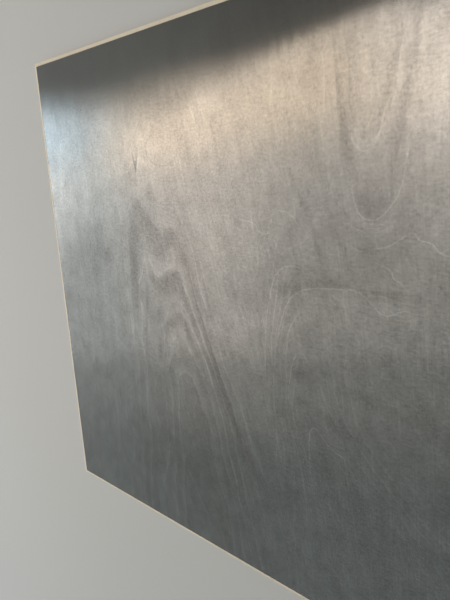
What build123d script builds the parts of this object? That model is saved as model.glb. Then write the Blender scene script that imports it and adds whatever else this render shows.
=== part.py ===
from build123d import *
import os

# Plywood sheet: one glued panel, lying flat with its good face up.
# Millimetres. X runs along the long edges, across the face grain.
# Y runs along the face grain. The origin is on the floor, under the
# middle of the sheet.

# The sheet
sheet_length = 1220.0
sheet_width = 610.0
sheet_thickness = 12.0

# Long shallow bevel that eases the good face into its four edges.
# It cuts through the dark surface film into the pale face ply.
bevel_across = 4.5
bevel_down = 0.9

# Small arris that takes the sharpness off the back face
back_arris = 0.5

os.makedirs("parts", exist_ok=True)

with BuildPart() as plywood_sheet:
    # The panel as it comes off the saw
    with BuildSketch(Plane.XY):
        Rectangle(sheet_length, sheet_width)
    extrude(amount=sheet_thickness)

    # The bevel is wide on the good face and shallow down the edge
    good_face = plywood_sheet.faces().sort_by(Axis.Z)[-1]
    chamfer(
        good_face.edges(),
        length=bevel_across,
        length2=bevel_down,
        reference=good_face,
    )

    # The back is eased by the same small amount both ways
    back_face = plywood_sheet.faces().sort_by(Axis.Z)[0]
    chamfer(back_face.edges(), length=back_arris)

plywood_sheet.part.label = "plywood_sheet"
export_step(plywood_sheet.part, "parts/plywood_sheet.step")
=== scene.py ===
import math
from collections import namedtuple

import bpy
import numpy as np
from mathutils import Matrix, Vector


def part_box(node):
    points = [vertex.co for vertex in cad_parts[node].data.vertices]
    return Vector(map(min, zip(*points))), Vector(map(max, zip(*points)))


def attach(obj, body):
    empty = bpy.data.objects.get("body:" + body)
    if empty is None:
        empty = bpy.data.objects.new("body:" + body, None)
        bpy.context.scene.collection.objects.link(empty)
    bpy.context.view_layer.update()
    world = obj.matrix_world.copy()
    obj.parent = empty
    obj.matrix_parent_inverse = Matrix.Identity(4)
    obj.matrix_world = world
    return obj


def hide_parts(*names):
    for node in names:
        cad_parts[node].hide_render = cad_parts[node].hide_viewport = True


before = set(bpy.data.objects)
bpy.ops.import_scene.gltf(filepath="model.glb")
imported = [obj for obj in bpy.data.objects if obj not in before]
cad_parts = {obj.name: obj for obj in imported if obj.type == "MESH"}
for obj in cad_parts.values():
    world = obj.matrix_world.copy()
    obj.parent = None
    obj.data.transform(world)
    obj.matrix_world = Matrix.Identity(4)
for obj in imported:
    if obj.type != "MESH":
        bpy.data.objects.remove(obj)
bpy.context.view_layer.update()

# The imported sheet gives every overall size, in metres
sheet_low, sheet_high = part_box("plywood_sheet")
half_length = (sheet_high.x - sheet_low.x) / 2
half_width = (sheet_high.y - sheet_low.y) / 2
thickness = sheet_high.z - sheet_low.z
width = 2 * half_width

# Edge sizes of the sheet
bevel_across = 0.0045
bevel_down = 0.0009
back_arris = 0.0005
film_thickness = 0.0001
ply_count = 9
ply = (thickness - 2 * film_thickness) / ply_count
glue_line = 0.00012
end_grain_recess = 0.00010

# The finishes of the skin's faces, in the order of their materials
film_face, bevel_face, sawn_face, back_face = range(4)

# Grid of the good face: the spacing of its columns and rows, closer where the figure is richest
# (from and to in sheet widths), and closest round the knot
column_pitch = (0.0042, 0.0020)
column_band = (0.22, 0.86)
row_pitch = (0.0062, 0.0028)
row_band = (0.27, 0.84)
knot_pitch = 0.0010
knot_lines = 12

# Relief that the veneer prints through the film: what the mesh has, and what the finishes add
ring_relief = 0.00002
slit_depth = 0.00008
film_relief = 0.00006
sawn_relief = 0.00008

# Faces that turn by more than this meet in a sharp edge
sharp_turn = math.radians(8.0)

# The knot and its slit, a Y with a raised lip: sizes in metres, and how far up its length it forks
knot_x = 0.297 * width - half_length
knot_y = 0.780 * width - half_width
slit_length = 0.025
slit_spread = 0.0048
slit_half_width = 0.0023
slit_fork = 0.3
lip_gap = 0.0034

# The cloudy veneer round the knot: how far it reaches, and its shape across and up
halo_reach = (0.010, 0.055)
halo_shape = (1.0, 0.8)

# Figure of the veneer. Each part is a ridge or a hollow in the count of growth rings that runs up
# the sheet. Its stations give height up the sheet, place of its crest, rings at the crest, and how
# far it reaches to the left and to the right. All but the rings are in sheet widths from the lower
# left corner. band is how dark its bands are, and line is how clear its thin pale lines are.
Grain = namedtuple("Grain", "band line stations")
figure = {
    "horn": Grain(0.6, 0.35, (
        (0.000, 0.290, 2.40, 0.050, 0.050), (0.300, 0.286, 2.10, 0.040, 0.045),
        (0.450, 0.298, 2.10, 0.044, 0.052), (0.550, 0.303, 2.20, 0.054, 0.050),
        (0.600, 0.305, 2.00, 0.056, 0.045), (0.670, 0.305, 1.50, 0.052, 0.044),
        (0.735, 0.303, 1.00, 0.048, 0.032), (0.785, 0.303, 0.00, 0.045, 0.028),
    )),
    "first_flame": Grain(0.7, 0.35, (
        (0.000, 0.435, 11.0, 0.085, 0.098), (0.100, 0.422, 11.0, 0.075, 0.094),
        (0.200, 0.410, 10.0, 0.064, 0.088), (0.300, 0.400, 8.50, 0.060, 0.084),
        (0.380, 0.392, 6.80, 0.056, 0.080), (0.450, 0.389, 4.80, 0.052, 0.070),
        (0.500, 0.388, 3.55, 0.052, 0.065), (0.550, 0.387, 2.75, 0.048, 0.058),
        (0.600, 0.394, 2.00, 0.052, 0.048), (0.670, 0.390, 1.10, 0.046, 0.047),
        (0.735, 0.390, 0.00, 0.035, 0.038),
    )),
    "first_hollow": Grain(0.1, 0.3, (
        (0.000, 0.600, -0.5, 0.040, 0.030), (0.200, 0.590, -0.6, 0.030, 0.026),
        (0.300, 0.578, -1.6, 0.040, 0.032), (0.400, 0.568, -2.8, 0.060, 0.036),
        (0.500, 0.557, -4.2, 0.078, 0.040), (0.600, 0.553, -6.2, 0.088, 0.052),
        (0.750, 0.535, -8.6, 0.092, 0.080), (0.900, 0.500, -10.4, 0.080, 0.110),
        (1.000, 0.470, -11.5, 0.070, 0.125),
    )),
    "eye": Grain(0.3, 0.2, (
        (0.560, 0.620, 0.00, 0.030, 0.025), (0.620, 0.610, 1.00, 0.034, 0.028),
        (0.690, 0.590, 1.60, 0.040, 0.030), (0.740, 0.570, 1.20, 0.040, 0.030),
        (0.785, 0.560, 0.00, 0.040, 0.030),
    )),
    "second_flame": Grain(0.3, 0.2, (
        (0.000, 0.880, 10.5, 0.180, 0.110), (0.100, 0.830, 10.0, 0.150, 0.110),
        (0.200, 0.775, 9.50, 0.110, 0.100), (0.283, 0.720, 9.00, 0.070, 0.080),
        (0.351, 0.675, 7.60, 0.052, 0.075), (0.400, 0.658, 5.60, 0.050, 0.075),
        (0.473, 0.647, 4.10, 0.052, 0.080), (0.520, 0.647, 3.30, 0.056, 0.075),
        (0.555, 0.647, 2.60, 0.058, 0.070), (0.580, 0.642, 1.90, 0.058, 0.070),
        (0.620, 0.633, 0.90, 0.050, 0.050), (0.660, 0.630, 0.00, 0.045, 0.050),
    )),
    "shoulder": Grain(0.3, 0.1, (
        (0.000, 1.050, 1.00, 0.080, 0.110), (0.300, 1.000, 1.60, 0.110, 0.110),
        (0.450, 0.920, 2.70, 0.130, 0.100), (0.540, 0.820, 2.50, 0.120, 0.110),
        (0.575, 0.780, 1.70, 0.120, 0.120), (0.610, 0.780, 0.60, 0.110, 0.120),
        (0.660, 0.790, 0.20, 0.090, 0.100), (0.740, 0.800, 0.00, 0.070, 0.100),
    )),
    "cup": Grain(0.45, 0.1, (
        (0.630, 0.748, 0.00, 0.052, 0.049), (0.684, 0.748, 1.05, 0.052, 0.049),
        (0.720, 0.750, 1.36, 0.052, 0.049), (0.796, 0.742, 2.00, 0.052, 0.049),
        (0.850, 0.743, 3.00, 0.052, 0.050), (0.910, 0.738, 3.20, 0.058, 0.055),
        (1.000, 0.732, 3.60, 0.062, 0.060),
    )),
    "tall_flame": Grain(0.7, 0.5, (
        (0.000, 1.120, 9.00, 0.100, 0.090), (0.350, 1.130, 5.20, 0.080, 0.060),
        (0.600, 1.150, 2.60, 0.060, 0.050), (0.780, 1.160, 1.00, 0.050, 0.040),
        (0.900, 1.160, 0.00, 0.040, 0.040),
    )),
    "second_hollow": Grain(0.1, 0.3, (
        (0.000, 1.260, -1.0, 0.040, 0.050), (0.450, 1.300, -2.6, 0.060, 0.060),
        (0.700, 1.320, -4.4, 0.070, 0.080), (1.000, 1.340, -7.0, 0.080, 0.100),
    )),
    "low_flame": Grain(0.4, 0.7, (
        (0.000, 1.480, 6.40, 0.080, 0.100), (0.200, 1.490, 4.20, 0.070, 0.080),
        (0.400, 1.500, 2.00, 0.055, 0.060), (0.520, 1.500, 0.90, 0.045, 0.050),
        (0.600, 1.500, 0.00, 0.040, 0.040),
    )),
    "third_hollow": Grain(0.3, 0.6, (
        (0.420, 1.620, 0.00, 0.060, 0.050), (0.550, 1.630, -1.2, 0.060, 0.050),
        (0.750, 1.640, -3.0, 0.060, 0.060), (1.000, 1.650, -5.0, 0.060, 0.070),
    )),
    "last_flame": Grain(0.8, 0.5, (
        (0.000, 1.900, 9.00, 0.110, 0.100), (0.250, 1.880, 6.40, 0.080, 0.100),
        (0.450, 1.870, 3.60, 0.060, 0.080), (0.580, 1.870, 2.00, 0.050, 0.060),
        (0.700, 1.870, 0.80, 0.040, 0.050), (0.800, 1.870, 0.00, 0.040, 0.040),
    )),
}

# The most rings that a ridge reaches, and how values between stations are averaged up the sheet
most_rings = 6.0
station_reach = 0.02
station_steps = 7

# Where the slope of the ring count is measured, in metres, and its least, in rings for each metre
slope_step = 0.0005
least_slope = 1.0

# Thin pale lines that stand out of the figure, each a chain of places in sheet widths from the
# lower left corner. pale is how clear the line is, and below 0 it is dark.
Trace = namedtuple("Trace", "pale places")
traces = {
    "cup_rim": Trace(0.75, (
        (0.721, 0.735), (0.724, 0.714), (0.732, 0.689), (0.748, 0.681), (0.761, 0.683),
        (0.774, 0.697), (0.787, 0.719), (0.790, 0.744), (0.794, 0.780),
    )),
    "second_rim": Trace(0.5, (
        (0.718, 0.684), (0.722, 0.674), (0.733, 0.669), (0.749, 0.665), (0.762, 0.666),
        (0.776, 0.673), (0.784, 0.686),
    )),
    "inner_cup": Trace(0.4, (
        (0.774, 0.841), (0.762, 0.820), (0.759, 0.800), (0.752, 0.777), (0.738, 0.767),
        (0.723, 0.779), (0.716, 0.802), (0.710, 0.827),
    )),
    "cup_core": Trace(0.4, (
        (0.750, 0.824), (0.746, 0.812), (0.740, 0.795), (0.734, 0.797), (0.729, 0.803),
    )),
    "crinkle": Trace(1.0, (
        (0.720, 0.650), (0.734, 0.639), (0.750, 0.643), (0.777, 0.648), (0.789, 0.659),
        (0.805, 0.669), (0.813, 0.658), (0.829, 0.655), (0.839, 0.642), (0.856, 0.640),
    )),
    "fall": Trace(0.9, (
        (0.750, 0.633), (0.764, 0.623), (0.779, 0.619), (0.786, 0.604), (0.794, 0.602),
        (0.803, 0.590),
    )),
    "outer_arch": Trace(0.9, (
        (0.582, 0.410), (0.581, 0.464), (0.584, 0.520), (0.592, 0.561), (0.600, 0.593),
        (0.613, 0.607), (0.635, 0.613), (0.649, 0.608), (0.655, 0.598),
    )),
    "inner_arch": Trace(0.9, (
        (0.599, 0.430), (0.601, 0.470), (0.609, 0.507), (0.616, 0.535), (0.629, 0.563),
        (0.649, 0.576), (0.676, 0.582), (0.713, 0.584), (0.732, 0.585), (0.748, 0.578),
        (0.760, 0.564), (0.772, 0.554), (0.786, 0.556), (0.799, 0.565), (0.815, 0.562),
    )),
    "third_arch": Trace(0.45, (
        (0.612, 0.450), (0.620, 0.486), (0.629, 0.514), (0.641, 0.536), (0.651, 0.543),
        (0.664, 0.540),
    )),
    "low_arch": Trace(0.8, (
        (0.692, 0.405), (0.670, 0.448), (0.659, 0.464), (0.648, 0.478), (0.636, 0.467),
        (0.627, 0.418), (0.625, 0.380),
    )),
    "step": Trace(0.8, (
        (0.525, 0.686), (0.539, 0.679), (0.564, 0.675), (0.573, 0.661), (0.588, 0.655),
        (0.593, 0.675), (0.603, 0.696), (0.627, 0.691), (0.642, 0.675), (0.650, 0.655),
    )),
    "dip": Trace(0.5, (
        (0.520, 0.590), (0.526, 0.553), (0.534, 0.523), (0.544, 0.510), (0.566, 0.503),
        (0.575, 0.512), (0.580, 0.535),
    )),
    "slide": Trace(0.35, (
        (0.713, 0.576), (0.722, 0.542), (0.739, 0.513), (0.757, 0.485), (0.772, 0.464),
        (0.794, 0.461),
    )),
    "hook": Trace(1.1, (
        (0.668, 0.260), (0.664, 0.321), (0.665, 0.343), (0.671, 0.353), (0.678, 0.350),
        (0.689, 0.338), (0.701, 0.326), (0.714, 0.319), (0.734, 0.312),
    )),
    "wave": Trace(0.6, (
        (0.318, 0.735), (0.330, 0.716), (0.345, 0.703), (0.363, 0.699), (0.386, 0.699),
        (0.397, 0.690), (0.407, 0.674), (0.420, 0.655),
    )),
    "eye_rim": Trace(-0.6, (
        (0.360, 0.832), (0.348, 0.825), (0.336, 0.820), (0.328, 0.807), (0.330, 0.790),
        (0.346, 0.775), (0.369, 0.770), (0.393, 0.775), (0.404, 0.785), (0.409, 0.800),
    )),
    "left_limb": Trace(0.6, (
        (0.231, 0.728), (0.235, 0.712), (0.242, 0.671), (0.241, 0.633), (0.244, 0.487),
        (0.248, 0.420),
    )),
}

# Soft dark bands of the figure, each a chain of places along its outer edge. A place is across
# and up in sheet widths, and the band's width there in metres, on the right of the run.
Shade = namedtuple("Shade", "dark places")
shades = {
    "stem": Shade(0.72, (
        (0.255, 0.483, 0.015), (0.255, 0.570, 0.022), (0.257, 0.650, 0.026),
        (0.270, 0.695, 0.020), (0.294, 0.719, 0.010),
    )),
    "crown": Shade(0.75, (
        (0.294, 0.719, 0.012), (0.315, 0.692, 0.030), (0.345, 0.667, 0.047),
        (0.390, 0.667, 0.047), (0.405, 0.649, 0.034), (0.414, 0.627, 0.018),
    )),
    "limb": Shade(0.8, (
        (0.392, 0.668, 0.017), (0.414, 0.627, 0.015), (0.434, 0.564, 0.014),
        (0.453, 0.491, 0.013), (0.478, 0.419, 0.012), (0.503, 0.343, 0.012),
        (0.550, 0.256, 0.011), (0.562, 0.210, 0.010),
    )),
    "second_stem": Shade(0.5, (
        (0.279, 0.379, 0.005), (0.289, 0.460, 0.005), (0.302, 0.555, 0.007),
    )),
    "second_crown": Shade(0.8, (
        (0.302, 0.555, 0.013), (0.311, 0.576, 0.023), (0.338, 0.569, 0.026),
        (0.351, 0.564, 0.024), (0.386, 0.588, 0.027), (0.394, 0.581, 0.015),
    )),
    "second_limb": Shade(0.6, (
        (0.389, 0.589, 0.009), (0.412, 0.528, 0.008), (0.436, 0.471, 0.007),
        (0.459, 0.415, 0.007), (0.508, 0.337, 0.007),
    )),
    "third_crown": Shade(0.8, (
        (0.321, 0.384, 0.014), (0.323, 0.428, 0.014), (0.343, 0.476, 0.017),
        (0.381, 0.503, 0.019), (0.399, 0.502, 0.014), (0.416, 0.461, 0.009),
        (0.437, 0.410, 0.009),
    )),
    "arch": Shade(0.75, (
        (0.600, 0.562, 0.010), (0.607, 0.582, 0.015), (0.636, 0.594, 0.016),
        (0.673, 0.597, 0.010), (0.708, 0.596, 0.008), (0.732, 0.590, 0.004),
    )),
    "arch_end": Shade(0.7, (
        (0.748, 0.586, 0.009), (0.763, 0.592, 0.011), (0.786, 0.590, 0.009),
        (0.803, 0.588, 0.005),
    )),
    "slant": Shade(0.6, (
        (0.684, 0.598, 0.004), (0.671, 0.637, 0.004), (0.656, 0.681, 0.008),
        (0.639, 0.716, 0.005), (0.620, 0.760, 0.004),
    )),
    "second_slant": Shade(0.6, (
        (0.729, 0.592, 0.004), (0.717, 0.624, 0.004), (0.706, 0.643, 0.007),
        (0.690, 0.680, 0.004),
    )),
    "cup_floor": Shade(0.6, (
        (0.778, 0.716, 0.010), (0.771, 0.691, 0.019), (0.752, 0.682, 0.025),
        (0.735, 0.689, 0.018), (0.724, 0.720, 0.007),
    )),
    "cup_right": Shade(0.65, (
        (0.800, 0.990, 0.004), (0.800, 0.921, 0.005), (0.799, 0.876, 0.005),
        (0.798, 0.845, 0.008), (0.792, 0.813, 0.012), (0.789, 0.779, 0.011),
        (0.786, 0.750, 0.009), (0.779, 0.711, 0.008),
    )),
    "cup_right_core": Shade(0.5, (
        (0.785, 0.990, 0.004), (0.784, 0.918, 0.004), (0.776, 0.876, 0.005),
        (0.771, 0.851, 0.006), (0.763, 0.825, 0.005), (0.755, 0.801, 0.003),
    )),
    "cup_left": Shade(0.6, (
        (0.712, 0.748, 0.007), (0.706, 0.774, 0.011), (0.701, 0.795, 0.011),
        (0.697, 0.824, 0.008), (0.694, 0.861, 0.006), (0.689, 0.893, 0.005),
        (0.684, 0.925, 0.004), (0.678, 0.965, 0.003),
    )),
    "cup_left_core": Shade(0.5, (
        (0.720, 0.780, 0.004), (0.716, 0.798, 0.005), (0.712, 0.822, 0.005),
        (0.710, 0.858, 0.005), (0.706, 0.894, 0.004), (0.702, 0.935, 0.003),
    )),
    "crinkle": Shade(0.7, ((0.726, 0.646, 0.004), (0.740, 0.646, 0.007), (0.766, 0.643, 0.003))),
    "ripple": Shade(0.7, (
        (0.624, 0.436, 0.010), (0.638, 0.446, 0.015), (0.657, 0.445, 0.012),
        (0.664, 0.438, 0.006),
    )),
    "low_ripple": Shade(0.6, (
        (0.624, 0.389, 0.008), (0.645, 0.400, 0.011), (0.668, 0.395, 0.006),
    )),
    "wedge": Shade(0.5, ((0.726, 0.445, 0.014), (0.785, 0.425, 0.016), (0.856, 0.415, 0.010))),
    "low_wedge": Shade(0.5, (
        (0.675, 0.393, 0.010), (0.710, 0.376, 0.013), (0.752, 0.353, 0.009),
    )),
    "left_patch": Shade(0.5, ((0.173, 0.576, 0.023), (0.172, 0.595, 0.027), (0.188, 0.624, 0.015))),
}

# How often a chain's corners are cut
corner_cuts = 2

# How far from its line a trace is known, where its paleness fades there, and how long its ends
# and those of a shade fade, in metres
trace_reach = 0.008
trace_fade = (0.0045, 0.0065)
trace_end = 0.010
shade_end = 0.008

# Where a shade rises and falls, and how far from its outer edge it is known, in parts of its width
shade_rise = (-0.12, 0.22)
shade_fall = (0.5, 1.15)
shade_reach = 1.2

# The plain veneer between the figure's parts
plain_rings = 0.4
plain_band = 0.15
plain_line = 0.15

# A step of rings down to the plain left end of the sheet
margin_rings = 2.0
margin_across = 0.13
margin_reach = 0.05

# Unevenness of the rings: cell across and up in metres, rings it adds, and its seed
wobbles = ((0.060, 0.110, 0.45, 34), (0.028, 0.040, 0.35, 49), (0.014, 0.020, 0.28, 3))

# A ring's dark band rises and falls over these parts of the ring. Its pale line and a trace fade
# over these distances, in metres, and chance sways the rings, in rings, and a trace, in metres
band_rise = (0.0, 0.10)
band_fall = (0.5, 0.97)
line_width = (0.0003, 0.0021)
trace_width = (0.0001, 0.0010)
ring_sway = 0.30
trace_sway = 0.004

# Fine lines within one ring: their counts, the spacings over which a count comes and goes, and the
# distances over which a line fades, in metres
fine_counts = (1.0, 2.0, 4.0, 8.0)
fine_least = (0.0030, 0.0048)
fine_most = (0.0055, 0.0080)
fine_width = (0.0002, 0.0013)

# Lean of the fibres: their sway over the sheet's width, and where it is greatest, in sheet widths
fibre_lean = 0.22
lean_place = 0.62

# The top of the sheet, where fine lines and ripples are fainter: from and to, in metres along Y
high_from = (0.02, 0.20)

# Rings of the back's plain veneer: how many for each metre, their swell, and their pitch in metres
back_rings = 40.0
back_swell = 26.0
back_pitch = 0.016

# How far the pattern of each sawn ply is shifted from its neighbour's, in cells
ply_shift = 7.3

# Colours of the film, of the bare wood and of the floor
film_grey = (0.026, 0.026, 0.025)
film_green = (0.021, 0.026, 0.025)
band_brown = (0.018, 0.012, 0.012)
line_pale = (0.080, 0.075, 0.066)
cut_film = (0.07, 0.055, 0.045)
birch_light = (0.62, 0.59, 0.51)
birch_dark = (0.52, 0.47, 0.38)
long_light = (0.68, 0.58, 0.43)
long_dark = (0.52, 0.41, 0.27)
end_light = (0.44, 0.32, 0.20)
end_dark = (0.28, 0.19, 0.11)
glue_brown = (0.09, 0.05, 0.03)
floor_grey = (0.44, 0.465, 0.49)

# Colours of the light
warm_light = (1.30, 0.85, 0.38)
plain_light = (1.12, 0.975, 0.85)
clear_light = (0.97, 1.00, 0.98)
cool_light = (0.80, 1.06, 1.24)
dim_light = (0.48, 0.54, 0.53)
room_tint = (0.88, 0.98, 0.88)

# Ceiling of light: the left end of its upper line, its turn about Z, and its size in metres
ceiling_corner = Vector((-3.58, 0.55, 2.00))
ceiling_turn = math.radians(6.5)
ceiling_left = -0.9
ceiling_right = 3.9
ceiling_near = -0.9
ceiling_far = 3.6
ceiling_pitch = 0.05

# The backdrop, where the floor turns into it, in metres from the sheet's centre, and the floor
backdrop = (0.47, 0.475, 0.465)
floor_fade = (0.7, 2.0)
floor_reach = 30.0
floor_drop = 0.0004
floor_sides = 64

# Camera of the photograph
eye = Vector((-0.0189, 0.1422, 0.3728))
aim = Vector((-0.3049, 0.0252, 0.0120))
roll = math.radians(-2.05)
lens = 27.0
sensor = 36.0


def ease(value, start, end):
    """0 before start and 1 after end, with a smooth rise between them."""
    part = np.clip((value - start) / (end - start), 0, 1)
    return part ** 2 * (3 - 2 * part)


def hump(value, middle, below, above):
    """exp(-(distance from the middle / reach) ** 2), with one reach below it and one above."""
    reach = np.where(value < middle, below, above)
    return np.exp(-(((value - middle) / reach) ** 2))


def in_widths(x, y):
    """A place on the sheet in sheet widths from its lower left corner."""
    return (x + half_length) / width, (y + half_width) / width


def at_stations(up, heights, values):
    """Values at stations up the sheet, joined by straight lines, averaged over a short reach."""
    shifts = np.linspace(-station_reach, station_reach, station_steps)
    return sum(np.interp(up + shift, heights, values) for shift in shifts) / station_steps


def ridge(across, up, stations):
    """Crest height times a hump across the sheet, with everything varying up the sheet.

    A high ridge is flattened towards most_rings, as that times tanh(height / most_rings).
    """
    heights, place, rings, left, right = np.array(stations).T
    off = across - at_stations(up, heights, place)
    reach_left = at_stations(up, heights, left)
    reach_right = at_stations(up, heights, right)
    count = at_stations(up, heights, rings) * hump(off, 0, reach_left, reach_right)
    return most_rings * np.tanh(count / most_rings)


def wobble(x, y, cell_x, cell_y, seed):
    """Smooth noise from -0.5 to 0.5: chance values on a grid of cells, joined by smooth steps."""
    columns = int(2 * half_length / cell_x) + 3
    rows = int(2 * half_width / cell_y) + 3
    values = np.random.default_rng(seed).random((columns, rows)) - 0.5
    left, part_x = np.divmod((x + half_length) / cell_x + 0.5, 1)
    low, part_y = np.divmod((y + half_width) / cell_y + 0.5, 1)
    left = left.astype(int)
    low = low.astype(int)
    part_x = ease(part_x, 0, 1)
    part_y = ease(part_y, 0, 1)
    lower = values[left, low] * (1 - part_x) + values[left + 1, low] * part_x
    upper = values[left, low + 1] * (1 - part_x) + values[left + 1, low + 1] * part_x
    return lower * (1 - part_y) + upper * part_y


def ring_count(x, y):
    """Growth rings that the knife has cut through at each point of the good face.

    The sum of the figure's ridges, a soft step that leaves the left end of the sheet nearly
    plain, and the wobbles. Lines of equal count are the grain lines.
    """
    across, up = in_widths(x, y)
    count = sum(ridge(across, up, grain.stations) for grain in figure.values())
    count = count - margin_rings * (0.5 - 0.5 * np.tanh((across - margin_across) / margin_reach))
    for cell_x, cell_y, rings, seed in wobbles:
        count = count + rings * wobble(x, y, cell_x, cell_y, seed)
    return count


def ring_pitch(x, y):
    """Distance from one ring to the next at each point, from the slope of the ring count."""
    slope_x = (ring_count(x + slope_step, y) - ring_count(x - slope_step, y)) / (2 * slope_step)
    slope_y = (ring_count(x, y + slope_step) - ring_count(x, y - slope_step)) / (2 * slope_step)
    return 1 / np.maximum(np.hypot(slope_x, slope_y), least_slope)


def clearness(x, y):
    """How dark the bands and how clear the pale lines are.

    Both are means of the parts' own values and the plain veneer's, weighed by the rings that each
    adds at the point.
    """
    across, up = in_widths(x, y)
    weight = plain_rings
    band = plain_rings * plain_band
    line = plain_rings * plain_line
    for grain in figure.values():
        share = np.abs(ridge(across, up, grain.stations))
        weight = weight + share
        band = band + share * grain.band
        line = line + share * grain.line
    return band / weight, line / weight


def fibre_place(x, y):
    """Where the fibre through each point starts, at the sheet's upper edge, in metres along X.

    Fibres lean as a cosine over the sheet: most at lean_place and one sheet width from it.
    """
    across, up = in_widths(x, y)
    turn = 2 * math.pi * (across - lean_place)
    return x - fibre_lean * (0.5 + 0.5 * np.cos(turn)) * (half_width - y)


def knot_marks(x, y):
    """The knot's slit and the raised lip on its right, each 1 along its middle.

    The slit is a stem that parts upwards into two arms, whose distance from the middle grows
    evenly. Both marks fall evenly to 0 at slit_half_width from their line, and at their ends.
    """
    rise = (y - knot_y) / slit_length + 0.5
    off = x - knot_x
    arm = slit_spread * np.clip((rise - slit_fork) / (1 - slit_fork), 0, 1)
    ends = np.clip(4 * rise, 0, 1) * np.clip(2 * (1 - rise), 0, 1)
    slit = np.clip(1 - np.abs(np.abs(off) - arm) / slit_half_width, 0, 1) * ends
    lip = np.clip(1 - np.abs(off - arm - lip_gap) / slit_half_width, 0, 1) * ends
    return slit, lip


def cut_corners(values):
    """A run of values with its corners cut a few times, which leaves its ends in place.

    Each cut puts points at a quarter and at three quarters of every step.
    """
    for cut in range(corner_cuts):
        first, last = values[:-1], values[1:]
        inner = np.stack([0.75 * first + 0.25 * last, 0.25 * first + 0.75 * last], axis=1)
        inner = inner.reshape((-1,) + values.shape[1:])
        values = np.concatenate([values[:1], inner, values[-1:]])
    return values


def chain(places):
    """Points in metres along a smooth line through places given in sheet widths."""
    points = cut_corners(np.array(places, dtype=float))
    return points * width - np.array([half_length, half_width])


def beside_chain(points, place, reach):
    """The places within reach of a chain of points: their numbers, and what lies beside each.

    That is the distance, positive on the left of the chain's run, the number of the nearest
    point with the part of a step past it, and the way to the chain's nearer end.
    """
    low, high = points.min(axis=0) - reach, points.max(axis=0) + reach
    near = np.flatnonzero(np.all((place > low) & (place < high), axis=-1))
    steps = np.hypot(*np.diff(points, axis=0).T)
    gone = np.concatenate([[0], np.cumsum(steps)])
    off = np.full(len(near), reach)
    nearest = np.zeros(len(near))
    for number, step in enumerate(steps):
        run = (points[number + 1] - points[number]) / step
        gap = place[near] - points[number]
        part = np.clip(gap @ run, 0, step)
        side = np.sign(run[0] * gap[:, 1] - run[1] * gap[:, 0])
        distance = np.hypot(*(gap - part[:, None] * run).T)
        closer = distance < np.abs(off)
        off[closer] = (side * distance)[closer]
        nearest[closer] = number + part[closer] / step
    way = np.interp(nearest, np.arange(len(points)), gone)
    return near, off, nearest, np.minimum(way, gone[-1] - way)


def trace_marks(x, y):
    """Distance from the nearest trace, and how pale that trace is there.

    A trace fades evenly at its ends, and smoothly a little way from its line.
    """
    place = np.stack([x, y], axis=-1)
    off = np.full(len(x), trace_reach)
    pale = np.zeros(len(x))
    for trace in traces.values():
        near, distance, nearest, to_end = beside_chain(chain(trace.places), place, trace_reach)
        closer = np.abs(distance) < np.abs(off[near])
        these = near[closer]
        off[these] = distance[closer]
        pale[these] = trace.pale * np.clip(to_end[closer] / trace_end, 0, 1)
    return off, pale * (1 - ease(np.abs(off), *trace_fade))


def shade_marks(x, y):
    """How dark the shades are at each point, the most of them all.

    A shade is a smooth rise at its outer edge times a smooth fall across its inner half, both in
    parts of its width there. It fades evenly at its ends.
    """
    place = np.stack([x, y], axis=-1)
    dark = np.zeros(len(x))
    for shade in shades.values():
        places = np.array(shade.places)
        points = chain(places[:, :2])
        band = cut_corners(places[:, 2])
        near, off, nearest, to_end = beside_chain(points, place, shade_reach * band.max())
        inside = -off / np.interp(nearest, np.arange(len(band)), band)
        here = ease(inside, *shade_rise) * (1 - ease(inside, *shade_fall))
        here = shade.dark * here * np.clip(to_end / shade_end, 0, 1)
        dark[near] = np.maximum(dark[near], here)
    return dark


def grid_lines(half, pitch, band, knot):
    """Places from -half to half, with a wide pitch outside the band and a close one inside it.

    The knot has the closest ones round it.
    """
    start, end = band
    wide, close = pitch
    parts = []
    for low, high, spacing in ((-half, start, wide), (start, end, close), (end, half, wide)):
        parts.append(np.linspace(low, high, int(round((high - low) / spacing)) + 1))
    even = np.unique(np.concatenate(parts))
    near = knot + knot_pitch * np.arange(-knot_lines, knot_lines + 1)
    far = even[np.abs(even - knot) > knot_pitch * (knot_lines + 0.5)]
    return np.sort(np.concatenate([far, near]))


def good_face():
    """Places of the good face's grid, and its ring count.

    Its height is the thickness, less ring_relief times (1 - cos(2 pi rings)) / 2, less the slit.
    """
    column_ends = np.array(column_band) * width - half_length
    row_ends = np.array(row_band) * width - half_width
    columns = grid_lines(half_length - bevel_across, column_pitch, column_ends, knot_x)
    rows = grid_lines(half_width - bevel_across, row_pitch, row_ends, knot_y)
    x, y = np.meshgrid(columns, rows, indexing="ij")
    rings = ring_count(x, y)
    z = thickness - ring_relief * (0.5 - 0.5 * np.cos(2 * math.pi * rings))
    z = z - slit_depth * knot_marks(x, y)[0]
    return np.stack([x, y, z], axis=-1), rings


def edge_profile(across_grain):
    """The loops down the sheet's edge: how far each lies out from the border, and its height.

    They go from the bevel's foot past each ply to the back arris. Each glue line gives two, so
    that a ply can stand back from its neighbour, as one whose fibres meet the edge end on does.
    across_grain is true where the edge faces across the face ply's grain.
    """
    heights = [thickness - bevel_down]
    plies = [ply_count - 1]
    for number in range(ply_count - 1, 0, -1):
        joint = film_thickness + number * ply
        heights += [joint + glue_line / 2, joint - glue_line / 2]
        plies += [number, number - 1]
    heights.append(back_arris)
    plies.append(0)
    loops = []
    for height, number in zip(heights, plies):
        end_on = across_grain == (number % 2 == 1)
        recess = np.where(end_on & (height < heights[0]), end_grain_recess, 0.0)
        loops.append((bevel_across - recess, height))
    loops.append((np.full(len(across_grain), bevel_across - back_arris), 0.0))
    return loops


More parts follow.
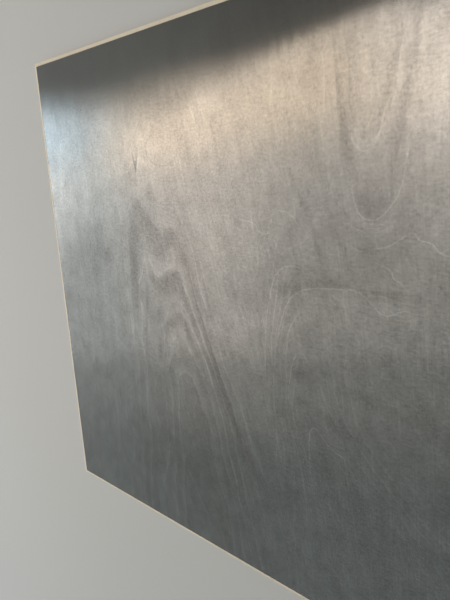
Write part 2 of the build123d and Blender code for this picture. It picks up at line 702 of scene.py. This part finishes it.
def sheet_skin():
    """The sheet's whole skin as one closed surface: points, ring counts, faces and finishes.

    The good face is a grid of columns and rows. Its border is carried outwards and down the
    edge's profile: a side's points move out along its normal, and a corner's along both. The
    back is a hip: each point of the last loop joins the nearest point of the sheet's middle line.
    """
    face, rings = good_face()
    number = np.arange(rings.size).reshape(rings.shape)
    points = [face.reshape(-1, 3)]
    counts = [rings.ravel()]
    corners = [number[:-1, :-1], number[1:, :-1], number[1:, 1:], number[:-1, 1:]]
    quads = [np.stack(corners, axis=-1).reshape(-1, 4)]
    finishes = [np.full(len(quads[0]), film_face)]

    # The border, anticlockwise seen from above, and which way is out from it
    loop = np.concatenate([number[:, 0], number[-1, 1:], number[-2::-1, -1], number[0, -2:0:-1]])
    border = points[0][loop]
    side_x = np.sign(border[:, 0]) * (np.abs(border[:, 0]) > half_length - 1.01 * bevel_across)
    side_y = np.sign(border[:, 1]) * (np.abs(border[:, 1]) > half_width - 1.01 * bevel_across)
    out = np.stack([side_x, side_y, 0 * side_x], axis=-1)

    profile = edge_profile(np.abs(side_x) > np.abs(side_y))
    start = rings.size
    inner = loop
    for place, (outward, height) in enumerate(profile):
        ring = border + out * outward[:, None]
        ring[:, 2] = height
        points.append(ring)
        counts.append(rings.ravel()[loop])
        outer = start + np.arange(len(loop))
        quads.append(np.stack([inner, outer, np.roll(outer, -1), np.roll(inner, -1)], axis=-1))
        sloping = place in (0, len(profile) - 1)
        finishes.append(np.full(len(loop), bevel_face if sloping else sawn_face))
        inner = outer
        start += len(loop)

    # The back's hip, down to the middle line
    middle_half = half_length - half_width
    middle = np.clip(points[-1][:, 0], -middle_half, middle_half)
    middle[side_x != 0] = middle_half * side_x[side_x != 0]
    stops = np.unique(middle)
    points.append(np.stack([stops, 0 * stops, 0 * stops], axis=-1))
    counts.append(0 * stops)
    foot = start + np.searchsorted(stops, middle)
    next_foot = np.roll(foot, -1)
    next_inner = np.roll(inner, -1)
    first = np.stack([inner, foot, next_inner], axis=-1)
    second = np.stack([next_inner, foot, next_foot], axis=-1)[foot != next_foot]
    hips = np.concatenate([first, second])
    finishes.append(np.full(len(hips), back_face))
    faces = np.concatenate(quads).tolist() + hips.tolist()
    return np.concatenate(points), np.concatenate(counts), faces, np.concatenate(finishes)


class Field:
    """A value that varies over a surface. Arithmetic on it adds Math nodes to its finish."""

    def __init__(self, finish, socket):
        self.finish = finish
        self.socket = socket

    def __add__(self, other):
        return self.finish.math("ADD", self, other)

    __radd__ = __add__

    def __sub__(self, other):
        return self.finish.math("SUBTRACT", self, other)

    def __rsub__(self, other):
        return self.finish.math("SUBTRACT", other, self)

    def __mul__(self, other):
        return self.finish.math("MULTIPLY", self, other)

    __rmul__ = __mul__

    def __truediv__(self, other):
        return self.finish.math("DIVIDE", self, other)

    def __rtruediv__(self, other):
        return self.finish.math("DIVIDE", other, self)

    def __abs__(self):
        return self.finish.math("ABSOLUTE", self)


class Finish:
    """A material being built, or the world, which has nodes in the same way.

    node() adds any node, and the short methods name the common ones.
    """

    def __init__(self, name, world=None):
        self.material = world or bpy.data.materials.new(name)
        self.material.use_nodes = True
        self.tree = self.material.node_tree
        self.tree.nodes.clear()

    def node(self, kind, settings, sockets, output=0):
        """Adds a node: its settings first, then the values or links of its sockets.

        Gives the named output, or nothing for a node that has none.
        """
        made = self.tree.nodes.new("ShaderNode" + kind)
        for name, value in settings.items():
            setattr(made, name, value)
        for name, value in sockets.items():
            socket = made.inputs[name]
            if isinstance(value, Field):
                self.tree.links.new(value.socket, socket)
            elif socket.type == "RGBA":
                socket.default_value = (*value, 1.0)
            else:
                socket.default_value = value
        return Field(self, made.outputs[output]) if made.outputs else None

    def math(self, operation, *values):
        return self.node("Math", {"operation": operation}, dict(enumerate(values)))

    def vector_math(self, operation, first, second, output="Vector"):
        return self.node("VectorMath", {"operation": operation}, {0: first, 1: second}, output)

    def ease(self, value, start, end):
        """0 before start and 1 after end, with a smooth rise between them."""
        settings = {"interpolation_type": "SMOOTHSTEP"}
        return self.node("MapRange", settings, {0: value, 1: start, 2: end, 3: 0.0, 4: 1.0})

    def seen(self):
        """1 where the camera or a gloss looks, and 0 for the light on things."""
        camera = self.node("LightPath", {}, {}, "Is Camera Ray")
        gloss = self.node("LightPath", {}, {}, "Is Glossy Ray")
        through = self.node("LightPath", {}, {}, "Is Transmission Ray")
        return self.math("MINIMUM", camera + gloss + through, 1.0)

    def place(self):
        """The point on the piece, in metres, with the sheet's own axes."""
        return self.node("TexCoord", {}, {}, "Object")

    def split(self, vector):
        """The three numbers of a vector."""
        first = self.node("SeparateXYZ", {}, {0: vector})
        return [Field(self, socket) for socket in first.socket.node.outputs]

    def noise(self, vector, cells, detail=2.0, roughness=0.5):
        """Soft noise between -0.5 and 0.5, with so many cells for each metre along the axes."""
        stretched = self.vector_math("MULTIPLY", vector, cells)
        sockets = {"Vector": stretched, "Scale": 1.0, "Detail": detail, "Roughness": roughness}
        return self.node("TexNoise", {"noise_dimensions": "3D"}, sockets) - 0.5

    def luck(self, number):
        """A chance value from 0 to 1 for each whole number."""
        return self.node("TexWhiteNoise", {"noise_dimensions": "1D"}, {"W": number}, "Value")

    def blend(self, amount, first, second):
        """The first colour, turned into the second by the amount."""
        settings = {"data_type": "RGBA", "blend_type": "MIX", "clamp_factor": True}
        return self.node("Mix", settings, {0: amount, 6: first, 7: second}, 2)

    def scaled(self, amount, color):
        """A colour times a brightness."""
        return self.node("VectorMath", {"operation": "SCALE"}, {0: color, "Scale": amount})

    def bump(self, height, distance):
        sockets = {"Height": height, "Distance": distance, "Strength": 1.0}
        return self.node("Bump", {}, sockets)

    def surface(self, **sockets):
        """Ends the finish in a Principled shader. Its sockets are named with _ for each space."""
        named = {name.replace("_", " "): value for name, value in sockets.items()}
        shader = self.node("BsdfPrincipled", {}, named)
        self.node("OutputMaterial", {}, {"Surface": shader})
        return self.material


def fine_lines(finish, rings, pitch):
    """Thin pale lines that part each ring into fine_counts parts.

    A count shows where its spacing, pitch / count, lies between fine_least and fine_most. Each
    line fades over fine_width from where its count is a whole number, and is as clear as chance
    gives that number.
    """
    lines = 0.0
    for count in fine_counts:
        spacing = pitch / count
        number = finish.math("CEIL", rings * count)
        to_line = (number - rings * count) * spacing
        fits = finish.ease(spacing, *fine_least) * (1.0 - finish.ease(spacing, *fine_most))
        lines = lines + (1.0 - finish.ease(to_line, *fine_width)) * fits * finish.luck(number)
    return lines


def knot_halo(finish, place):
    """The cloudy veneer round the knot: 1 near it, with a smooth fall over halo_reach."""
    flat = finish.vector_math("MULTIPLY", place, (*halo_shape, 0.0))
    middle = (halo_shape[0] * knot_x, halo_shape[1] * knot_y, 0.0)
    return 1.0 - finish.ease(finish.vector_math("DISTANCE", flat, middle, "Value"), *halo_reach)


def film(finish, rings, pitch, band, line, fibre, trace, shade, knot):
    """Dark satin film over rotary-cut veneer.

    rings counts growth rings and pitch is their spacing in metres. Within a ring the tone is
    dark, and pale in a thin line at its inner edge. band and line weigh the two, and fibre is
    the place across the fibres in metres. trace holds the distance from the nearest trace and
    how pale it is, shade is how dark the soft bands are, and knot holds the slit and its lip.
    Tone, gloss and relief are then weighed sums of these marks and of the noises.
    """
    place = finish.place()
    x, y, z = finish.split(place)
    grain = finish.node("CombineXYZ", {}, {"X": fibre, "Y": y, "Z": z})
    off, pale_trace = trace
    slit, lip = knot
    halo = knot_halo(finish, place)
    high = finish.ease(y, *high_from)

    # Clouds, from the widest to the smallest
    wide = finish.noise(place, (9.0, 4.0, 1.0))
    patch = finish.noise(place, (26.0, 20.0, 1.0))
    mottle = finish.noise(place, (60.0, 42.0, 1.0), 4.0, 0.6)
    # Ragged edges of rings and of traces
    wander = finish.noise(place, (190.0, 70.0, 1.0), 4.0, 0.7)
    tear = finish.noise(place, (190.0, 220.0, 1.0), 4.0, 0.7)
    # Marks along the fibres, and the film's own unevenness
    streak = finish.noise(grain, (230.0, 9.0, 1.0))
    thread = finish.noise(grain, (190.0, 6.0, 1.0), 1.0)
    hair = finish.noise(grain, (430.0, 90.0, 1.0), 3.0, 0.6)
    ripple = finish.noise(place, (160.0, 560.0, 1.0))
    peel = finish.noise(place, (420.0, 340.0, 1.0), 2.0, 0.6)

    rings = rings + ring_sway * wander
    turn = finish.math("FRACT", rings)
    luck = finish.luck(finish.math("CEIL", rings))
    dark = finish.ease(turn, *band_rise) * (1.0 - finish.ease(turn, *band_fall))
    dark = dark * band * (0.7 + 0.4 * luck) + shade * (0.95 + 0.9 * mottle + 0.5 * tear)
    dark = dark * (1.0 + patch)

    to_edge = (1.0 - turn) * pitch
    pale = (1.0 - finish.ease(to_edge, *line_width)) * finish.ease(turn, 0.3, 0.6)
    pale = pale * line * finish.ease(0.5 * luck + 2.2 * patch + mottle, -0.1, 0.8)
    torn = (1.0 - finish.ease(abs(off + trace_sway * tear), *trace_width)) * pale_trace
    torn = torn * finish.ease(tear + 1.4 * mottle + 0.8 * patch, -0.44, 0.14)
    pale = pale + 0.95 * torn

    fine = 0.6 * (1.0 - finish.ease(abs(thread), 0.0, 0.05)) + fine_lines(finish, rings, pitch)
    fine = fine * finish.ease(mottle + 0.7 * patch, -0.18, 0.12) * (1.0 - 0.75 * high)

    tone = finish.blend(0.5 + 1.6 * wide, film_grey, film_green)
    tone = finish.blend(0.40 * dark, tone, band_brown)
    tone = finish.blend(0.35 * pale + 0.15 * fine, tone, line_pale)
    level = 1.0 + 0.5 * mottle + 0.3 * patch + 0.2 * streak + 0.3 * hair + 0.5 * peel
    # The tone is halved along the knot's slit: painted shade in the slit's shallow recess
    tone = finish.scaled(level + 0.1 * halo - 0.5 * slit, tone)

    gloss = 0.61 - 0.14 * dark + 0.20 * pale + 0.12 * fine + 0.14 * lip - 0.42 * slit
    gloss = gloss + (0.32 + 0.15 * halo) * mottle + 0.22 * patch + 0.16 * tear
    gloss = gloss + 0.12 * streak + 0.20 * hair + (0.42 - 0.2 * high) * ripple + 0.38 * peel

    relief = 0.35 * pale + 0.3 * fine - 0.2 * dark + 0.05 * streak + 0.2 * hair + 0.3 * ripple
    relief = relief + 0.1 * peel + (0.25 + 0.5 * halo) * mottle + 0.8 * lip
    return finish.surface(
        Base_Color=tone,
        Roughness=0.50 + 0.06 * dark - 0.04 * pale + 0.08 * mottle,
        Specular_IOR_Level=0.25,
        Coat_Weight=gloss,
        Coat_Roughness=0.085,
        Coat_IOR=2.3,
        Normal=finish.bump(relief, film_relief),
    )


def good_film():
    """The film over the figured veneer, whose marks are values on the mesh."""
    finish = Finish("good_film")

    def measure(name):
        return finish.node("Attribute", {"attribute_name": name}, {}, "Fac")

    trace = [measure(name) for name in ("trace_off", "trace_pale")]
    knot = [measure(name) for name in ("slit", "lip")]
    veneer = [measure(name) for name in ("rings", "ring_pitch", "band", "line", "fibre")]
    return film(finish, *veneer, trace, measure("shade"), knot)


def back_film():
    """The same film over a plainer veneer: even rings along X, with a slow swell."""
    finish = Finish("back_film")
    place = finish.place()
    x, y, z = finish.split(place)
    rings = back_rings * x + back_swell * finish.noise(place, (2.6, 1.1, 1.0), 1.0)
    no_trace = (trace_reach, 0.0)
    return film(finish, rings, back_pitch + 0.0 * x, 0.3, 0.3, x, no_trace, 0.0, (0.0, 0.0))


def bevelled_birch():
    """The bevel: the film's ragged cut line, then the pale streaky wood of the face ply."""
    finish = Finish("bevelled_birch")
    place = finish.place()
    x, y, z = finish.split(place)
    streak = finish.noise(place, (700.0, 25.0, 200.0), 3.0, 0.6)
    cloud = finish.noise(place, (40.0, 12.0, 40.0))
    wood = finish.blend(0.45 + 0.9 * streak + 0.8 * cloud, birch_light, birch_dark)
    ragged = 0.00006 * finish.noise(place, (300.0, 300.0, 1.0), 3.0)
    cut = finish.ease(z + ragged, thickness - film_thickness * 1.3, thickness - film_thickness)
    return finish.surface(Base_Color=finish.blend(cut, wood, cut_film), Roughness=0.55)


def sawn_plies():
    """The sawn edge: plies that show long fibres and end grain in turn, between dark glue lines.

    A ply's number is the height over the film, in plies, rounded down.
    """
    finish = Finish("sawn_plies")
    place = finish.place()
    x, y, z = finish.split(place)
    level = (z - film_thickness) / ply
    number = finish.math("FLOOR", level)
    odd = finish.math("MODULO", number, 2.0)
    on_end = finish.ease(abs(x), half_length - bevel_across, half_length - 0.5 * bevel_across)
    end_grain = odd * on_end + (1.0 - odd) * (1.0 - on_end)
    run = x * (1.0 - on_end) + y * on_end
    spread = finish.node("CombineXYZ", {}, {"X": run, "Y": ply_shift * number, "Z": z})
    long_fibre = finish.noise(spread, (60.0, 1.0, 3000.0), 3.0, 0.6)
    end_fibre = finish.noise(spread, (2600.0, 1.0, 2600.0), 3.0, 0.7)
    patch = finish.noise(spread, (14.0, 1.0, 1.0))
    light = finish.blend(0.5 + long_fibre + patch, long_light, long_dark)
    dark = finish.blend(0.5 + end_fibre + patch, end_light, end_dark)
    wood = finish.blend(end_grain, light, dark)
    turn = finish.math("FRACT", level)
    near = finish.math("MINIMUM", turn, 1.0 - turn) * ply
    inside = finish.ease(z, back_arris, 2 * back_arris)
    inside = inside * (1.0 - finish.ease(z, thickness - bevel_down, thickness - 0.8 * bevel_down))
    glue = (1.0 - finish.ease(near, 0.4 * glue_line, glue_line)) * inside
    normal = finish.bump(end_fibre * end_grain + 0.4 * long_fibre, sawn_relief)
    tone = finish.blend(glue, wood, glue_brown)
    return finish.surface(Base_Color=tone, Roughness=0.72, Normal=normal)


def shaped(name, points, faces):
    """A mesh with these points and faces."""
    mesh = bpy.data.meshes.new(name)
    mesh.from_pydata(points, [], faces)
    return mesh


def put(name, data):
    """Puts a mesh or a camera into the scene as an object."""
    made = bpy.data.objects.new(name, data)
    bpy.context.collection.objects.link(made)
    return made


def plywood_sheet():
    """The dressed sheet, with a value for each of the film's marks on every point."""
    points, rings, faces, finishes = sheet_skin()
    mesh = shaped("dressed_sheet", points, faces)
    x, y = points[:, 0], points[:, 1]
    band, line = clearness(x, y)
    off, pale = trace_marks(x, y)
    slit, lip = knot_marks(x, y)
    measures = {
        "rings": rings,
        "ring_pitch": ring_pitch(x, y),
        "band": band,
        "line": line,
        "fibre": fibre_place(x, y),
        "trace_off": off,
        "trace_pale": pale,
        "shade": shade_marks(x, y),
        "slit": slit,
        "lip": lip,
    }
    for name, values in measures.items():
        attribute = mesh.attributes.new(name, "FLOAT", "POINT")
        attribute.data.foreach_set("value", values.astype(np.float32))
    for make in (good_film, bevelled_birch, sawn_plies, back_film):
        mesh.materials.append(make())
    mesh.polygons.foreach_set("material_index", finishes.astype(np.int32))
    mesh.polygons.foreach_set("use_smooth", finishes == film_face)
    mesh.update()
    mesh.set_sharp_from_angle(angle=sharp_turn)
    piece = put("dressed_sheet", mesh)
    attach(piece, "root")
    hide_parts("plywood_sheet")


def floor():
    """A wide pale disc just under the sheet, which turns into the backdrop far from it."""
    finish = Finish("pale_floor")
    away = finish.node("VectorMath", {"operation": "LENGTH"}, {0: finish.place()}, "Value")
    far = finish.ease(away, *floor_fade)
    material = finish.surface(
        Base_Color=finish.blend(far, floor_grey, (0.0, 0.0, 0.0)),
        Roughness=0.9,
        Specular_IOR_Level=0.0,
        Emission_Color=finish.scaled(far * finish.seen(), backdrop),
        Emission_Strength=1.0,
    )
    turn = np.linspace(0, 2 * math.pi, floor_sides, endpoint=False)
    rim = np.stack([np.cos(turn), np.sin(turn), 0 * turn], axis=-1) * floor_reach
    rim[:, 2] = -floor_drop
    mesh = shaped("pale_floor", rim, [range(floor_sides)])
    mesh.materials.append(material)
    put("pale_floor", mesh)


def ceiling_light(right, away):
    """Light that the ceiling gives, as red, green and blue, at places on it.

    right is the distance along the ceiling's upper line, and away the distance from that line.
    The light starts at an edge near the line, which bends back and softens towards the left.
    Inside it lie a warm glow along the line, plainer towards the right end, and a plain level
    that falls in steps towards the far side. The left end has a clear flank, cool by the edge.
    A dim light is left on both sides of the edge.
    """
    edge = -0.05 - 0.22 * np.maximum(0.95 - right, 0) - 0.03 * ease(right, 1.9, 2.5)
    edge = edge + 0.04 * ease(right, 2.65, 3.0)
    soft = 0.02 + 0.23 * (1 - ease(right, 1.0, 2.5)) - 0.05 * (1 - ease(right, 0.5, 1.0))
    lit = ease((away - edge) / soft, -1, 1)
    lit = lit * ease(right, -1.0, -0.8) * (1 - ease(right, 2.95, 3.55))
    off = np.maximum(away, 0)

    middle = ease(right, 0.1, 1.1)
    glow = 1.75 * lit * middle * hump(off, 0.17 + 0.11 * ease(right, 2.4, 2.9), 0.34, 0.26)
    plainer = 0.6 * ease(right, 2.3, 3.0)

    fall = away + 0.12 * right
    fade = 0.25 * ease(away + 0.3 * right, 1.4, 1.85) - 0.04 * hump(fall, 1.72, 0.16, 0.16)
    fade = fade + 0.42 * ease(fall, 1.78, 2.10) + 0.33 * ease(fall, 2.0, 2.9)
    level = (1.35 + 1.05 * middle - 0.95 * ease(right, 1.5, 2.3)) * (1 - fade)
    bright = ease(right, 2.5, 3.1) * (1 - ease(right, 3.1, 3.7))
    bright = bright * (2.0 * hump(off, 0.28, 0.5, 0.26) + 0.85 * hump(off, 0.75, 0.28, 0.28))
    level = lit * (level + 1.15 * middle * hump(off, 0, 0.8, 0.8) + bright)
    clearer = 1 - ease(right, 0.0, 1.4)

    reach = 0.70 + 0.5 * (1 - ease(right, -0.8, 0.0))
    flank = 3.1 * lit * (1 - ease(right, -0.4, 1.1)) * np.exp(-((off / reach) ** 4))
    blue = flank * (1 - ease(away, -0.1, 0.4))

    spill = 0.65 * (1 - lit) * (1 - 0.5 * ease(right, 0.8, 2.4))
    spill = spill + lit * (1.1 + 0.1 * ease(right, 1.6, 2.4))
    parts = (
        (glow * (1 - plainer), warm_light),
        (glow * plainer + level * (1 - clearer), plain_light),
        (level * clearer + flank - blue, clear_light),
        (blue, cool_light),
        (spill, dim_light),
    )
    return sum(np.outer(strength, tone) for strength, tone in parts)


def ceiling():
    """A glowing ceiling that only the light sees: a grid with the light as a value on it."""
    right = np.arange(ceiling_left, ceiling_right + ceiling_pitch, ceiling_pitch)
    away = np.arange(ceiling_near, ceiling_far + ceiling_pitch, ceiling_pitch)
    right, away = np.meshgrid(right, away, indexing="ij")
    number = np.arange(right.size).reshape(right.shape)
    corners = [number[:-1, :-1], number[:-1, 1:], number[1:, 1:], number[1:, :-1]]
    points = np.stack([right, -away, 0 * right], axis=-1).reshape(-1, 3)
    mesh = shaped("soft_ceiling", points, np.stack(corners, axis=-1).reshape(-1, 4).tolist())
    glow = mesh.attributes.new("glow", "FLOAT_VECTOR", "POINT")
    glow.data.foreach_set("vector", ceiling_light(right.ravel(), away.ravel()).ravel())
    finish = Finish("soft_ceiling")
    glow = finish.node("Attribute", {"attribute_name": "glow"}, {}, "Vector")
    shader = finish.node("Emission", {}, {"Color": glow, "Strength": 1.0})
    finish.node("OutputMaterial", {}, {"Surface": shader})
    mesh.materials.append(finish.material)
    lamp = put("soft_ceiling", mesh)
    turn = Matrix.Rotation(ceiling_turn, 4, "Z")
    lamp.matrix_world = Matrix.Translation(ceiling_corner) @ turn
    lamp.visible_camera = False


def room():
    """A dim even room, which looks as pale as the backdrop past the floor."""
    world = bpy.data.worlds.new("soft_room")
    finish = Finish("soft_room", world)
    dim = finish.node("Background", {}, {"Color": room_tint, "Strength": 0.10})
    pale = finish.node("Background", {}, {"Color": backdrop, "Strength": 1.0})
    both = finish.node("MixShader", {}, {0: finish.seen(), 1: dim, 2: pale})
    finish.node("OutputWorld", {}, {"Surface": both})
    bpy.context.scene.world = world


def camera():
    """The photograph's view: from eye to aim, with the sheet's +Y up, rolled a little."""
    data = bpy.data.cameras.new("photo_view")
    data.lens = lens
    data.sensor_width = sensor
    data.clip_start = 0.01
    forward = (aim - eye).normalized()
    right = forward.cross(Vector((0, 1, 0))).normalized()
    up = right.cross(forward)
    turned_right = right * math.cos(roll) + up * math.sin(roll)
    turned_up = turned_right.cross(forward)
    turn = Matrix((turned_right, turned_up, -forward)).transposed()
    viewer = put("photo_view", data)
    viewer.matrix_world = Matrix.Translation(eye) @ turn.to_4x4()
    bpy.context.scene.camera = viewer


plywood_sheet()
floor()
ceiling()
room()
camera()
bpy.context.scene.view_settings.view_transform = "Standard"
